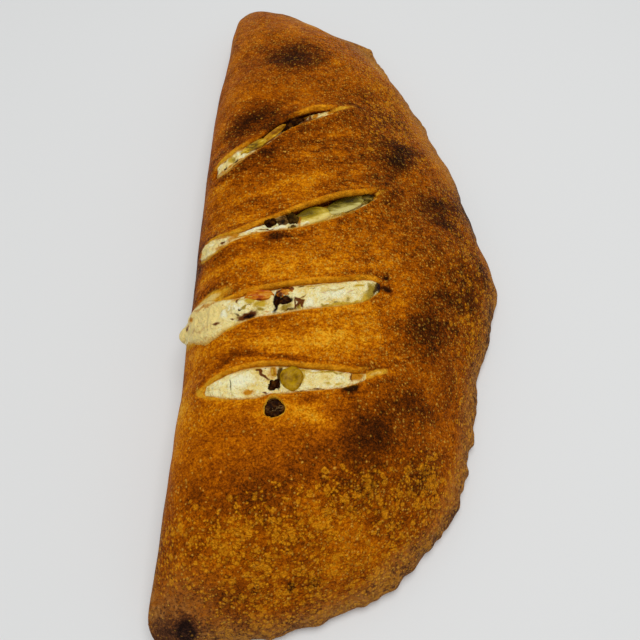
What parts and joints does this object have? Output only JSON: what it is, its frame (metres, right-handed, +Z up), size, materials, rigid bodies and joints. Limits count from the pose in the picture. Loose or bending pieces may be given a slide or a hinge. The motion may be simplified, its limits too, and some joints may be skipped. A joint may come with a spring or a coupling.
{
  "type": "calzone",
  "caption": "Baked calzone: a folded half-moon of golden brown dough with cuts across its crown that show melted cheese, peppers and olives.",
  "frame": {"origin": "on the surface it lies on, under the middle of the bounding box", "axes": "+Z up from the flat underside, +Y along the length towards the narrow end, +X from the folded side to the pinched side"},
  "size_m": [0.1474, 0.3566, 0.0523],
  "materials": {
    "crust": "baked dough, golden brown with dark toasted patches and fine pale blisters, faint sheen",
    "cheese": "melted cheese, cream, soft gloss",
    "pepper_green": "cooked green pepper, moist",
    "pepper_pale": "cooked pale pepper, moist and slightly translucent",
    "pepper_yellow": "cooked yellow pepper, moist",
    "olive_black": "black olive, satin",
    "olive_brown": "brown olive, satin",
    "olive_green": "green olive, satin",
    "tomato": "baked tomato, moist",
    "ham": "browned ham, dull"
  },
  "bodies": {
    "root": {"crust": "crust", "filling": "cheese", "pepper_green": "pepper_green", "pepper_yellow": "pepper_yellow", "olive_far": "olive_black", "olive_upper": "olive_black", "olive_split": "olive_brown", "pepper_edge": "pepper_green", "pepper_pale_left": "pepper_pale", "pepper_pale_right": "pepper_pale", "pepper_end": "pepper_green", "pepper_in_cheese": "pepper_pale", "tomato": "tomato", "ham": "ham", "olive_lower": "olive_black", "olive_green": "olive_green", "olive_near": "olive_black", "olive_near_brown": "olive_brown", "olive_slice_green": "olive_green", "olive_slice_black": "olive_black"}
  },
  "joints": []
}
